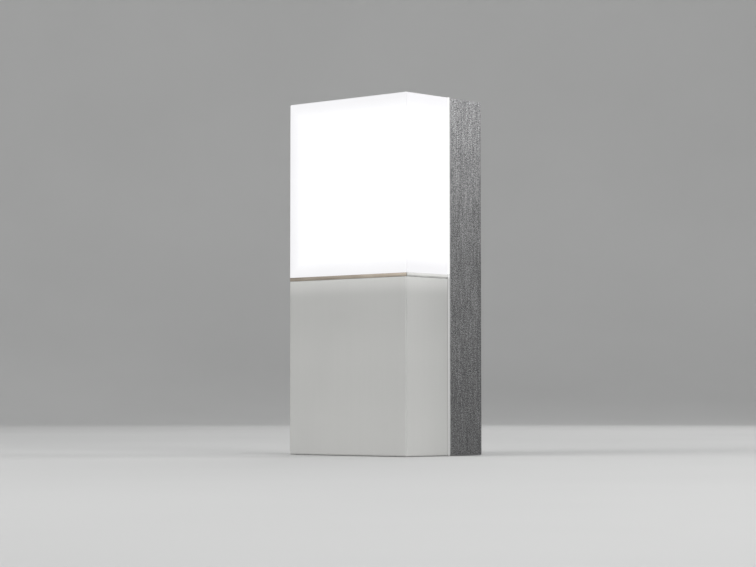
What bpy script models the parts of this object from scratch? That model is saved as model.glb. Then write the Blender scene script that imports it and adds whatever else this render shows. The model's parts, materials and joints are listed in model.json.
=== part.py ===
"""Outdoor wall lantern: a shallow metal wall housing, a lit opal box above, a service cover below.

The wall is the plane y = 0 and the lantern faces -Y, with +X to the right seen from the front
and +Z up. The origin is the centre of the housing's back face. Sizes in the constants and in
the calls are millimetres; the helpers turn them into metres.
"""
import math

import bmesh
import bpy
from mathutils import Vector

MM = 0.001

# Driving dimensions
HALF_WIDTH = 56.0
HALF_HEIGHT = 125.0
DEPTH = 80.0
HOUSING_DEPTH = 34.4
GAP = 0.3                     # clearance between pieces that rest on each other
EDGE = 1.0                    # radius of the outer edges

# Rear housing: a tray with a front flange and a cross bar between its two windows
WALL = 2.0
BACK = 3.0
FLANGE = 8.0
BAR_TOP = 16.0
BAR_BOTTOM = -7.0
FLANGE_BACK = HOUSING_DEPTH - WALL
WINDOW_X = HALF_WIDTH - FLANGE
WINDOW_Z = HALF_HEIGHT - FLANGE

# Front pieces, from the flange forwards
GASKET = 2.0
GASKET_BACK = HOUSING_DEPTH + GAP
GASKET_FRONT = GASKET_BACK + GASKET
FRONT_BACK = GASKET_FRONT + GAP   # rear rim of the opal box and of the cover
DIFFUSER_BOTTOM = 0.9
DIFFUSER_WALL = 2.5
COVER_TOP = -1.9
COVER_WALL = 2.0
COVER_FLOOR_TOP = -117.3
COVER_FLOOR = 2.0
PLATE_TOP = 0.6
PLATE_BOTTOM = -1.0
STRIP_FRONT = 0.1             # how far the trim strip is set back from the front
STRIP_THICKNESS = 0.5
STEP_SET_BACK = 0.8           # how far the step under the divider plate is set back from its sides

# Fixing points, as (x, z)
TOWER_X = 50.8
TOWER_ZS = (8.0, 120.5)
TOWER_RADIUS = 4.2
POST_HALF = 3.2
CARRIER_FIX = (42.5, 66.0)
DIVIDER_FIX = (30.0, 11.5)
DRIVER_FIX = (37.5, -40.0)
CLAMP_FIX = (9.5, -84.0)
BRACKET_FIX = (25.0, -109.0)
EARTH_FIX = (36.0, -70.0)
CLIP_FIX = (40.0, -27.0)
CABLE_Z = -97.0
KEYHOLE_Z = 86.0
WALL_SLOT = (30.0, -90.0)
WALL_SLOT_RADIUS = 2.75

# Tongues of the cover and the channels of the clips that grip them
TONGUE_X = (45.9, 47.6)
CLIP_X = (44.6, 48.9)
CLIP_WALL = 0.8

# Cover screws, driven upwards from under the cover
COVER_SCREW = (28.0, -46.0)   # (x, y)
COVER_SLOT_RADIUS = 2.5
SHANK_M4 = 1.9
SHANK_M3 = 1.4
HOLE_M4 = SHANK_M4 + GAP
HOLE_M3 = SHANK_M3 + GAP

# Terminal block
POLE_PITCH = 10.0
POLE_Y = -12.0
BLOCK_Z = (-77.0, -63.0)
BLOCK_Y = (-20.3, -3.3)

# Light unit
LED_COLUMNS = (-19.0, 19.0)
LED_ROWS = (45.0, 65.0, 85.0)
LED_HALF = 1.75
CONNECTOR_PIN = 2.2           # half the distance between the connector's two holes

# Driver and wires
DRIVER_Z = (-58.0, -22.0)
OUTPUT_X = 3.0
OUTPUT_Y = -14.0
BARREL_Y = -9.2               # axis of the crimp barrel on the ring terminal
MAINS_RADIUS = 1.1
LEAD_RADIUS = 0.8

# Spans that pass right through a wall
THROUGH_BACK = (-BACK - 1.0, 1.0)
THROUGH_SEAL = (-40.0, -30.0)

# Finish: colour, roughness, metallic
FINISHES = {
    "textured_metal": ((0.16, 0.16, 0.165), 0.45, 0.8),
    "silver_paint": ((0.47, 0.47, 0.455), 0.5, 0.0),
    "opal": ((0.9, 0.91, 0.93), 0.35, 0.0),
    "bronze": ((0.33, 0.27, 0.21), 0.4, 0.7),
    "white_plastic": ((0.75, 0.75, 0.73), 0.5, 0.0),
    "white_silicone": ((0.72, 0.72, 0.7), 0.6, 0.0),
    "black_foam": ((0.03, 0.03, 0.03), 0.9, 0.0),
    "black_rubber": ((0.035, 0.035, 0.035), 0.7, 0.0),
    "raw_aluminium": ((0.7, 0.7, 0.71), 0.35, 1.0),
    "zinc_steel": ((0.6, 0.6, 0.58), 0.35, 1.0),
    "stainless": ((0.62, 0.61, 0.59), 0.25, 1.0),
    "brass": ((0.72, 0.52, 0.2), 0.3, 1.0),
    "board_white": ((0.8, 0.8, 0.78), 0.45, 0.0),
    "phosphor": ((0.9, 0.75, 0.3), 0.5, 0.0),
    "driver_plastic": ((0.1, 0.1, 0.11), 0.5, 0.0),
    "driver_lid": ((0.62, 0.62, 0.6), 0.5, 0.0),
    "terminal_plastic": ((0.7, 0.7, 0.66), 0.45, 0.0),
    "brown_wire": ((0.2, 0.09, 0.04), 0.45, 0.0),
    "blue_wire": ((0.04, 0.15, 0.5), 0.45, 0.0),
    "green_wire": ((0.1, 0.42, 0.1), 0.45, 0.0),
    "red_wire": ((0.55, 0.04, 0.03), 0.45, 0.0),
    "black_wire": ((0.03, 0.03, 0.03), 0.45, 0.0),
}


# ---------------------------------------------------------------- helpers

def clear_scene():
    for obj in list(bpy.data.objects):
        bpy.data.objects.remove(obj, do_unlink=True)


def new_collection(name):
    collection = bpy.data.collections.new(name)
    bpy.context.scene.collection.children.link(collection)
    return collection


def finish(obj, name):
    """Give the object its own Principled material in one of the finishes."""
    color, roughness, metallic = FINISHES[name]
    material = bpy.data.materials.new(obj.name)
    material.use_nodes = True
    shader = material.node_tree.nodes["Principled BSDF"]
    shader.inputs["Base Color"].default_value = (*color, 1.0)
    shader.inputs["Roughness"].default_value = roughness
    shader.inputs["Metallic"].default_value = metallic
    material.diffuse_color = (*color, 1.0)
    obj.data.materials.append(material)
    return obj


def place(obj, centre, collection):
    obj.location = Vector(centre) * MM
    collection.objects.link(obj)
    return obj


def mesh_object(name, bm, centre, collection):
    mesh = bpy.data.meshes.new(name)
    bm.to_mesh(mesh)
    bm.free()
    return place(bpy.data.objects.new(name, mesh), centre, collection)


def side_of(edge):
    """Which sides of the unit cube an edge lies on, as -1, 0 or 1 along each axis."""
    middle = (edge.verts[0].co + edge.verts[1].co) / 2
    return [round(value * 2) for value in middle]


def box(name, x, y, z, collection, rounded=None, radius=EDGE):
    """A box between two values on each axis; rounded picks edges from their sides."""
    low = Vector((x[0], y[0], z[0]))
    high = Vector((x[1], y[1], z[1]))
    bm = bmesh.new()
    bmesh.ops.create_cube(bm, size=1.0)
    edges = [edge for edge in bm.edges if rounded and rounded(side_of(edge))]
    bmesh.ops.scale(bm, vec=(high - low) * MM, verts=bm.verts)
    if edges:
        bmesh.ops.bevel(bm, geom=edges, offset=radius * MM, segments=3, affect="EDGES", profile=0.5)
    return mesh_object(name, bm, (low + high) / 2, collection)


TURN = {"X": (0.0, math.pi / 2, 0.0), "Y": (-math.pi / 2, 0.0, 0.0), "Z": (0.0, 0.0, 0.0)}


def on_axis(axis, at, along):
    """The point at two fixed coordinates and one along the axis, in x, y, z order."""
    point = list(at)
    point.insert("XYZ".index(axis), along)
    return point


def sides_for(radius):
    """Facets around a round shape: small holes and shanks need few."""
    if radius < 2.0:
        return 10
    if radius < 5.5:
        return 14
    return 28


def rod(name, axis, at, span, radius, collection):
    """A cylinder along an axis, at the two other coordinates, over a span."""
    segments = sides_for(radius)
    bm = bmesh.new()
    bmesh.ops.create_cone(
        bm, cap_ends=True, segments=segments,
        radius1=radius * MM, radius2=radius * MM, depth=abs(span[1] - span[0]) * MM,
    )
    obj = mesh_object(name, bm, on_axis(axis, at, sum(span) / 2), collection)
    obj.rotation_euler = TURN[axis]
    return obj


def turned(name, profile, centre, rotation, collection, steps=14):
    """A solid of revolution: (radius, height) points from the top of the axis down the outside."""
    mesh = bpy.data.meshes.new(name)
    points = [(radius * MM, 0.0, height * MM) for radius, height in profile]
    mesh.from_pydata(points, [(i, i + 1) for i in range(len(points) - 1)], [])
    obj = place(bpy.data.objects.new(name, mesh), centre, collection)
    obj.rotation_euler = rotation
    screw = obj.modifiers.new("turn", "SCREW")
    screw.steps = steps
    screw.render_steps = steps
    screw.use_merge_vertices = True
    screw.merge_threshold = 0.00001
    return obj


def combine(obj, other, operation):
    """Join the other shape to the object or cut it away; the other shape stays as a guide."""
    modifier = obj.modifiers.new(other.name, "BOOLEAN")
    modifier.operation = operation
    modifier.solver = "EXACT"
    modifier.object = other
    other.hide_render = True
    other.display_type = "WIRE"


def add(obj, *others):
    for other in others:
        combine(obj, other, "UNION")


def cut(obj, *others):
    for other in others:
        combine(obj, other, "DIFFERENCE")


def both_sides(point):
    """The same point on the left and on the right, each with the name of its side."""
    return (("left", -point[0], point[1]), ("right", point[0], point[1]))


def machine_screw(name, axis_point, rotation, head, shank, head_height, length, collection):
    """A pan head screw whose head sits at the origin, with the shank along its own -Z."""
    profile = [
        (0.0, head_height), (head * 0.72, head_height), (head, head_height * 0.6),
        (head, 0.0), (shank, 0.0), (shank, -length), (0.0, -length),
    ]
    obj = turned(name, profile, axis_point, rotation, collection)
    socket = box(name + "_slot", (-head * 1.2, head * 1.2), (-head * 0.16, head * 0.16),
                 (head_height * 0.5, head_height + 1.0), CUTTERS)
    socket.parent = obj
    cut(obj, socket)
    return obj


FACING_FRONT = (math.pi / 2, 0.0, 0.0)     # own +Z points to -Y
FACING_WALL = (-math.pi / 2, 0.0, 0.0)     # own +Z points to +Y
FACING_DOWN = (math.pi, 0.0, 0.0)          # own +Z points to -Z


def smooth_route(points, per_leg=4):
    """Points along a smooth curve through the route's own points."""
    ends = [points[0] * 2 - points[1], *points, points[-1] * 2 - points[-2]]
    route = []
    for before, start, end, after in zip(ends, ends[1:], ends[2:], ends[3:]):
        for step in range(per_leg):
            t = step / per_leg
            route.append(
                start + (end - before) * (t / 2)
                + (before * 2 - start * 5 + end * 4 - after) * (t * t / 2)
                + (start * 3 - before - end * 3 + after) * (t ** 3 / 2)
            )
    return route + [points[-1]]


def wire(name, points, radius, finish_name):
    """An insulated wire: a round curve through the points."""
    route = smooth_route([Vector(point) for point in points])
    curve = bpy.data.curves.new(name, "CURVE")
    curve.dimensions = "3D"
    curve.bevel_depth = radius * MM
    curve.bevel_resolution = 2
    curve.use_fill_caps = True
    spline = curve.splines.new("POLY")
    spline.points.add(len(route) - 1)
    for target, point in zip(spline.points, route):
        target.co = (*(point * MM), 1.0)
    obj = bpy.data.objects.new(name, curve)
    PARTS.objects.link(obj)
    return finish(obj, finish_name)


# ---------------------------------------------------------------- wall housing

def housing_shell():
    """The tray with its back wall, flange, two windows and cross bar."""
    shell = box(
        "rear_housing", (-HALF_WIDTH, HALF_WIDTH), (-HOUSING_DEPTH, 0.0),
        (-HALF_HEIGHT, HALF_HEIGHT), PARTS, rounded=lambda side: side[1] >= 0,
    )
    inner_x = HALF_WIDTH - WALL
    inner_z = HALF_HEIGHT - WALL
    cut(
        shell,
        box("housing_cavity", (-inner_x, inner_x), (-FLANGE_BACK, -BACK),
            (-inner_z, inner_z), CUTTERS),
        box("upper_window", (-WINDOW_X, WINDOW_X), (-HOUSING_DEPTH - 5, -FLANGE_BACK + 5),
            (BAR_TOP, WINDOW_Z), CUTTERS),
        box("lower_window", (-WINDOW_X, WINDOW_X), (-HOUSING_DEPTH - 5, -FLANGE_BACK + 5),
            (-WINDOW_Z, BAR_BOTTOM), CUTTERS),
    )
    return shell


def boss(housing, name, x, z, radius, top, hole_radius, hole_bottom):
    """A round boss on the inside of the back wall, with a blind screw hole from its top."""
    add(housing, rod(name + "_boss", "Y", (x, z), (-BACK + 1.5, top), radius, CUTTERS))
    if hole_radius:
        cut(housing, rod(name + "_hole", "Y", (x, z), (hole_bottom, top - 2), hole_radius, CUTTERS))


def housing_bosses(housing):
    for side, x, z in both_sides(CARRIER_FIX):
        boss(housing, f"carrier_{side}", x, z, 4.0, -28.7, HOLE_M3, -16.0)
    for side, x, z in both_sides(DRIVER_FIX):
        boss(housing, f"driver_{side}", x, z, 3.5, -7.0, HOLE_M3, -2.0)
    for side, x, z in both_sides(CLAMP_FIX):
        boss(housing, f"clamp_{side}", x, z, 3.2, -10.7, HOLE_M3, -2.0)
    for side, x, z in both_sides(BRACKET_FIX):
        boss(housing, f"bracket_{side}", x, z, 3.5, -5.0, HOLE_M3, -2.0)
    for side, x, z in both_sides(CLIP_FIX):
        boss(housing, f"clip_{side}", x, z, 1.5, -5.4, 0.0, 0.0)
    boss(housing, "earth", *EARTH_FIX, 4.2, -7.0, HOLE_M4, -2.0)


def housing_towers(housing):
    """Four tubes from the back to the flange, for the long screws that hold the opal box."""
    for row, z in enumerate(TOWER_ZS):
        for side, x, _ in both_sides((TOWER_X, z)):
            name = f"tower_{side}_{row}"
            add(housing, rod(name, "Y", (x, z), (-BACK + 1.5, -FLANGE_BACK - 1), TOWER_RADIUS, CUTTERS))
            cut(
                housing,
                rod(name + "_bore", "Y", (x, z), (1.0, -26.3), 3.0, CUTTERS),
                rod(name + "_hole", "Y", (x, z), (-20.0, -40.0), HOLE_M3, CUTTERS),
            )


def slot_cutters(name, x, z, length, radius):
    """Two rounds and a box that cut an upright slot through the back wall."""
    half = length / 2 - radius
    return (
        rod(name + "_low", "Y", (x, z - half), THROUGH_BACK, radius, CUTTERS),
        rod(name + "_high", "Y", (x, z + half), THROUGH_BACK, radius, CUTTERS),
        box(name + "_middle", (x - radius, x + radius), THROUGH_BACK, (z - half, z + half), CUTTERS),
    )


def housing_openings(housing):
    """Keyhole, two wall slots, cable entry, drain hole, divider holes and the gasket groove."""
    cut(housing, rod("keyhole_round", "Y", (0.0, KEYHOLE_Z), THROUGH_BACK, 5.0, CUTTERS))
    cut(housing, *slot_cutters("keyhole", 0.0, KEYHOLE_Z + 6.0, 17.5, WALL_SLOT_RADIUS))
    for side, x, z in both_sides(WALL_SLOT):
        cut(housing, *slot_cutters(f"wall_slot_{side}", x, z, 12.0, WALL_SLOT_RADIUS))
    cut(
        housing,
        rod("cable_hole", "Y", (0.0, CABLE_Z), THROUGH_BACK, 10.0, CUTTERS),
        rod("cable_counterbore", "Y", (0.0, CABLE_Z), (-1.3, 1), 13.3, CUTTERS),
        rod("drain_hole", "Z", (-38.0, -16.0), (-HALF_HEIGHT - 1, -HALF_HEIGHT + 4), 1.5, CUTTERS),
    )
    for side, x, z in both_sides(DIVIDER_FIX):
        cut(housing, rod(f"divider_hole_{side}", "Y", (x, z), (-HOUSING_DEPTH - 1, -FLANGE_BACK + 1),
                         HOLE_M3, CUTTERS))
    cut(housing, ring("gasket_groove", 46.8, 116.3, 5.6, (-1.6, 1.0), CUTTERS))


def ring(name, half_x, half_z, width, y, collection, z_low=None):
    """A flat rectangular ring; z_low gives its own lowest outer edge."""
    bottom = -half_z if z_low is None else z_low
    obj = box(name, (-half_x, half_x), y, (bottom, half_z), collection)
    inner = box(
        name + "_inside", (-half_x + width, half_x - width), (y[0] - 1, y[1] + 1),
        (bottom + width, half_z - width), CUTTERS,
    )
    cut(obj, inner)
    return obj


def build_housing():
    housing = housing_shell()
    housing_bosses(housing)
    housing_towers(housing)
    housing_openings(housing)
    finish(housing, "textured_metal")
    finish(ring("wall_gasket", 46.5, 116.0, 5.0, (-1.3, -0.1), PARTS), "black_foam")


def build_grommet():
    """Rubber grommet clipped in the back wall, with a tapered nose and a cable hole."""
    profile = [(3.5, -0.1), (12.9, -0.1), (12.9, -1.0), (9.6, -1.0), (9.6, -3.3), (12.5, -3.3),
               (12.5, -4.6), (7.0, -5.6), (5.2, -9.0), (3.5, -9.0), (3.5, -0.1)]
    grommet = turned("cable_grommet", profile, (0.0, 0.0, CABLE_Z), FACING_WALL, PARTS, steps=28)
    finish(grommet, "black_rubber")


# ---------------------------------------------------------------- light unit

def build_light_unit():
    carrier = box("carrier_plate", (-46.0, 46.0), (-30.5, -29.0), (18.0, 115.0), PARTS)
    for side, x, z in both_sides(CARRIER_FIX):
        cut(carrier, rod(f"carrier_plate_hole_{side}", "Y", (x, z), (-32.0, -28.0), HOLE_M3, CUTTERS))
        screw = machine_screw(f"carrier_screw_{side}", (x, -30.8, z), FACING_FRONT,
                              3.0, SHANK_M3, 2.2, 12.0, PARTS)
        finish(screw, "zinc_steel")
    cut(carrier, box("carrier_notch", (-6.0, 6.0), (-32.0, -28.0), (17.0, 24.0), CUTTERS))
    finish(carrier, "raw_aluminium")
    finish(box("led_board", (-38.0, 38.0), (-32.4, -30.8), (25.0, 105.0), PARTS), "board_white")
    spots = [(x, z) for z in LED_ROWS for x in LED_COLUMNS]
    for number, (x, z) in enumerate(spots, 1):
        led = box(f"led_{number}", (x - LED_HALF, x + LED_HALF), (-33.4, -32.7),
                  (z - LED_HALF, z + LED_HALF), PARTS)
        finish(led, "phosphor")
    connector = box("board_connector", (-4.5, 4.5), (-36.2, -32.7), (27.5, 34.0), PARTS)
    for x in (-CONNECTOR_PIN, CONNECTOR_PIN):
        cut(connector, rod(f"connector_hole_{x}", "Z", (x, -34.4), (26.0, 31.5), 1.2, CUTTERS))
    finish(connector, "white_plastic")


def build_diffuser():
    """Opal box, open at the back and below, with four screw posts in its rear corners."""
    diffuser = box(
        "diffuser", (-HALF_WIDTH, HALF_WIDTH), (-DEPTH, -FRONT_BACK),
        (DIFFUSER_BOTTOM, HALF_HEIGHT), PARTS, rounded=lambda side: side[1] <= 0 and side[2] >= 0,
    )
    inner_x = HALF_WIDTH - DIFFUSER_WALL
    inner_top = HALF_HEIGHT - DIFFUSER_WALL
    cut(diffuser, box("diffuser_inside", (-inner_x, inner_x), (-DEPTH + DIFFUSER_WALL, -FRONT_BACK + 5),
                      (DIFFUSER_BOTTOM - 5, inner_top), CUTTERS))
    for row, z in enumerate(TOWER_ZS):
        for side, x, _ in both_sides((TOWER_X, z)):
            name = f"post_{side}_{row}"
            outer = math.copysign(inner_x + 1.0, x)
            inner = math.copysign(TOWER_X - POST_HALF, x)
            top = inner_top + 1.0 if row else z + POST_HALF
            add(diffuser, box(name, sorted((inner, outer)), (-58.0, -FRONT_BACK),
                              (z - POST_HALF, top), CUTTERS))
            cut(diffuser, rod(name + "_hole", "Y", (x, z), (-54.0, -30.0), HOLE_M3, CUTTERS))
            screw = machine_screw(f"diffuser_screw_{side}_{'lower' if row == 0 else 'upper'}",
                                  (x, -26.0, z), FACING_WALL, 2.7, SHANK_M3, 2.2, 26.0, PARTS)
            finish(screw, "stainless")
    finish(diffuser, "opal")


def build_gaskets():
    """Two flat silicone rings between the housing's flange and the front pieces."""
    span = (-GASKET_FRONT, -GASKET_BACK)
    upper = ring("diffuser_gasket", HALF_WIDTH, HALF_HEIGHT, FLANGE, span, PARTS, z_low=DIFFUSER_BOTTOM)
    for row, z in enumerate(TOWER_ZS):
        for side, x, _ in both_sides((TOWER_X, z)):
            cut(upper, rod(f"gasket_hole_{side}_{row}", "Y", (x, z), THROUGH_SEAL, HOLE_M3, CUTTERS))
    finish(upper, "white_silicone")
    lower = box("cover_gasket", (-HALF_WIDTH, HALF_WIDTH), span,
                (-HALF_HEIGHT, DIFFUSER_BOTTOM - GAP), PARTS)
    cut(lower, box("cover_gasket_inside", (-WINDOW_X, WINDOW_X), THROUGH_SEAL,
                   (-WINDOW_Z, BAR_BOTTOM), CUTTERS))
    finish(lower, "white_silicone")


def build_divider():
    """White plate between the opal box and the cover, stepped below, bent up at the back.

    A thin bronze strip closes its front edge.
    """
    front = -DEPTH + STRIP_FRONT + STRIP_THICKNESS + GAP
    plate = box("divider_plate", (-HALF_WIDTH + 0.1, HALF_WIDTH - 0.1), (front, -FRONT_BACK),
                (PLATE_BOTTOM, PLATE_TOP), PARTS)
    step_x = HALF_WIDTH - STEP_SET_BACK
    add(
        plate,
        box("divider_flange", (-46.0, 46.0), (-FRONT_BACK - 1.6, -FRONT_BACK),
            (PLATE_BOTTOM + 0.5, 15.5), CUTTERS),
        box("divider_step", (-step_x, step_x), (front + 0.2, -FRONT_BACK - 0.2),
            (COVER_TOP + GAP, PLATE_BOTTOM + 0.5), CUTTERS),
    )
    for side, x, z in both_sides(DIVIDER_FIX):
        cut(plate, rod(f"divider_plate_hole_{side}", "Y", (x, z), (-40.0, -36.0), HOLE_M3, CUTTERS))
        screw = machine_screw(f"divider_screw_{side}", (x, -FRONT_BACK - 1.9, z), FACING_FRONT,
                              2.8, SHANK_M3, 2.0, 9.0, PARTS)
        finish(screw, "zinc_steel")
    finish(plate, "white_plastic")
    strip = box("trim_strip", (-HALF_WIDTH + 0.2, HALF_WIDTH - 0.2), (-DEPTH + STRIP_FRONT, front - GAP),
                (COVER_TOP + GAP, DIFFUSER_BOTTOM - GAP), PARTS)
    finish(strip, "bronze")


# ---------------------------------------------------------------- electrical parts

def build_driver():
    """Potted driver on two bosses, with a lid let into its front."""
    low, high = DRIVER_Z
    case = box("driver_case", (-32.0, 32.0), (-27.3, -3.3), DRIVER_Z, PARTS,
               rounded=lambda side: side[1] == 0, radius=1.5)
    for side, x, fix_z in both_sides(DRIVER_FIX):
        ends = sorted((math.copysign(31.0, x), math.copysign(42.0, x)))
        add(case, box(f"driver_ear_{side}", ends, (-9.3, -7.3), (fix_z - 4, fix_z + 4), CUTTERS))
        cut(case, rod(f"driver_ear_hole_{side}", "Y", (x, fix_z), (-11.0, -6.0), HOLE_M3, CUTTERS))
        screw = machine_screw(f"driver_screw_{side}", (x, -9.6, fix_z), FACING_FRONT,
                              2.8, SHANK_M3, 2.0, 5.0, PARTS)
        finish(screw, "zinc_steel")
    cut(case, box("driver_lid_recess", (-30.0, 30.0), (-29.0, -25.8), (low + 2, high - 2), CUTTERS))
    for x in (-POLE_PITCH, 0.0):
        cut(case, rod(f"driver_input_{x}", "Z", (x, POLE_Y), (low - 1, low + 4), 1.5, CUTTERS))
    for x in (-OUTPUT_X, OUTPUT_X):
        cut(case, rod(f"driver_output_{x}", "Z", (x, OUTPUT_Y), (high - 4, high + 1), 1.3, CUTTERS))
    finish(case, "driver_plastic")
    lid = box("driver_lid", (-29.7, 29.7), (-27.6, -26.1), (low + 2.3, high - 2.3), PARTS,
              rounded=lambda side: side[1] < 0, radius=0.4)
    finish(lid, "driver_lid")


def build_terminals():
    """Three-pole terminal block with brass inserts and two clamping screws for each pole."""
    block = box("terminal_block", (-16.0, 16.0), BLOCK_Y, BLOCK_Z, PARTS,
                rounded=lambda side: side[1] < 0, radius=0.8)
    bottom, top = BLOCK_Z
    numbers = iter(range(1, 7))
    for pole in (-1, 0, 1):
        x = pole * POLE_PITCH
        cut(block, rod(f"pole_bore_{pole}", "Z", (x, POLE_Y), (bottom - 1, top + 1), 2.9, CUTTERS))
        insert = rod(f"terminal_insert_{pole + 2}", "Z", (x, POLE_Y), (bottom + 1, top - 1), 2.6, PARTS)
        cut(insert, rod(f"insert_bore_{pole}", "Z", (x, POLE_Y), (bottom, top), 1.5, CUTTERS))
        finish(insert, "brass")
        for z in (-73.5, -66.5):
            cut(block, rod(f"pole_screw_hole_{pole}_{z}", "Y", (x, z), (-22.0, POLE_Y), 2.1, CUTTERS))
            screw = rod(f"terminal_screw_{next(numbers)}", "Y", (x, z), (-19.2, -14.9), 1.8, PARTS)
            cut(screw, box(f"pole_screw_slot_{pole}_{z}", (x - 3, x + 3), (-20.0, -18.3),
                           (z - 0.35, z + 0.35), CUTTERS))
            finish(screw, "zinc_steel")
    finish(block, "terminal_plastic")


def build_earth():
    """Earth screw with its washer and a crimped ring terminal."""
    x, z = EARTH_FIX
    terminal = rod("ring_terminal", "Y", (x, z), (-8.1, -7.3), 4.0, PARTS)
    add(
        terminal,
        box("ring_tongue", (x - 8.0, x - 3.0), (-8.1, -7.3), (z - 1.8, z + 1.8), CUTTERS),
        rod("ring_barrel", "X", (BARREL_Y, z), (x - 12.0, x - 6.0), 2.0, CUTTERS),
    )
    cut(
        terminal,
        rod("ring_hole", "Y", (x, z), (-10.0, -6.0), HOLE_M4, CUTTERS),
        rod("barrel_bore", "X", (BARREL_Y, z), (x - 13.0, x - 7.0), 1.4, CUTTERS),
    )
    finish(terminal, "zinc_steel")
    washer = rod("earth_washer", "Y", (x, z), (-9.3, -8.4), 4.3, PARTS)
    cut(washer, rod("earth_washer_hole", "Y", (x, z), (-11.0, -7.0), HOLE_M4, CUTTERS))
    finish(washer, "zinc_steel")
    screw = machine_screw("earth_screw", (x, -9.6, z), FACING_FRONT, 3.7, SHANK_M4, 2.4, 6.0, PARTS)
    finish(screw, "brass")


def build_clamp():
    """Bar that clamps the supply cable just inside its entry."""
    bar = box("cable_clamp", (-13.5, 13.5), (-13.0, -11.0), (-87.0, -81.0), PARTS,
              rounded=lambda side: side[1] == 0, radius=1.5)
    add(bar, rod("clamp_ridge", "X", (-11.3, CLAMP_FIX[1]), (-5.0, 5.0), 1.2, CUTTERS))
    for side, x, z in both_sides(CLAMP_FIX):
        cut(bar, rod(f"clamp_hole_{side}", "Y", (x, z), (-15.0, -9.0), HOLE_M3, CUTTERS))
        screw = machine_screw(f"clamp_screw_{side}", (x, -13.3, z), FACING_FRONT,
                              2.8, SHANK_M3, 2.0, 8.5, PARTS)
        finish(screw, "zinc_steel")
    finish(bar, "white_plastic")


def build_wires():
    """Mains wires from the terminals, the earth lead, and the two leads to the light unit."""
    top = BLOCK_Z[1]
    mains = (("wire_live", -POLE_PITCH, "brown_wire"), ("wire_neutral", 0.0, "blue_wire"))
    for name, x, colour in mains:
        wire(name, [(x, POLE_Y, top - 3.5), (x, POLE_Y, top), (x, POLE_Y - 0.6, top + 2.5),
                    (x, POLE_Y, top + 5.0), (x, POLE_Y, top + 8.0)], MAINS_RADIUS, colour)
    barrel_x = EARTH_FIX[0] - 12.0
    earth_route = [
        (POLE_PITCH, POLE_Y, top - 3.5), (POLE_PITCH, POLE_Y, top),
        (POLE_PITCH + 2.0, POLE_Y - 1.0, top + 2.4), (POLE_PITCH + 6.0, POLE_Y - 1.6, top + 2.6),
        (POLE_PITCH + 9.6, POLE_Y - 1.0, top - 0.5), (POLE_PITCH + 10.6, POLE_Y + 1.6, top - 5.0),
        (barrel_x - 0.6, BARREL_Y, EARTH_FIX[1]), (barrel_x + 3.5, BARREL_Y, EARTH_FIX[1]),
    ]
    wire("wire_earth", earth_route, MAINS_RADIUS, "green_wire")
    for name, sign, colour in (("wire_led_plus", -1, "red_wire"), ("wire_led_minus", 1, "black_wire")):
        start = sign * OUTPUT_X
        end = sign * CONNECTOR_PIN
        wire(name, [(start, OUTPUT_Y, DRIVER_Z[1] - 3.0), (start, OUTPUT_Y, DRIVER_Z[1] + 1.0),
                    (sign * 3.2, -16.0, -12.0), (start, -21.0, 2.0), (sign * 2.6, -25.5, 12.0),
                    (sign * 2.3, -29.0, 18.0), (end, -33.0, 22.5), (end, -34.4, 26.5),
                    (end, -34.4, 30.5)],
             LEAD_RADIUS, colour)


# ---------------------------------------------------------------- service cover

def build_bracket():
    """Steel angle that carries the two threaded bushes for the cover screws."""
    bracket = box("cover_bracket", (-34.0, 34.0), (-52.0, -5.3), (-116.5, -114.5), PARTS)
    add(bracket, box("bracket_leg", (-34.0, 34.0), (-7.3, -5.3), (-115.5, -104.0), CUTTERS))
    cut(bracket, box("bracket_leg_gap", (-16.0, 16.0), (-10.0, -4.0), (-114.5, -100.0), CUTTERS))
    for side, x, y in both_sides(COVER_SCREW):
        add(bracket, rod(f"thread_bush_{side}", "Z", (x, y), (-115.5, -110.5), 4.0, CUTTERS))
        cut(bracket, rod(f"thread_{side}", "Z", (x, y), (-118.0, -109.0), HOLE_M4, CUTTERS))
    for side, x, z in both_sides(BRACKET_FIX):
        cut(bracket, rod(f"bracket_leg_hole_{side}", "Y", (x, z), (-9.0, -4.0), HOLE_M3, CUTTERS))
        screw = machine_screw(f"bracket_screw_{side}", (x, -7.6, z), FACING_FRONT,
                              2.8, SHANK_M3, 2.0, 4.5, PARTS)
        finish(screw, "zinc_steel")
    finish(bracket, "zinc_steel")


def build_clips():
    """Spring clips that grip the cover's two tongues, on stubs in the housing."""
    clip_back = -BACK - GAP
    for side, sign in (("left", -1), ("right", 1)):
        def across(a, b):
            return sorted((sign * a, sign * b))

        clip = box(f"cover_clip_{side}", across(*CLIP_X), (-30.0, clip_back), (-33.0, -21.0), PARTS)
        cut(clip, box(f"clip_channel_{side}", across(CLIP_X[0] + CLIP_WALL, CLIP_X[1] - CLIP_WALL),
                      (-31.0, clip_back - CLIP_WALL), (-34.0, -20.0), CUTTERS))
        add(clip, box(f"clip_foot_{side}", across(36.0, 45.0), (clip_back - CLIP_WALL, clip_back),
                      (-32.0, -22.0), CUTTERS))
        cut(clip, rod(f"clip_foot_hole_{side}", "Y", (sign * CLIP_FIX[0], CLIP_FIX[1]), (-6.0, -2.0),
                      1.8, CUTTERS))
        finish(clip, "stainless")


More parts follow.
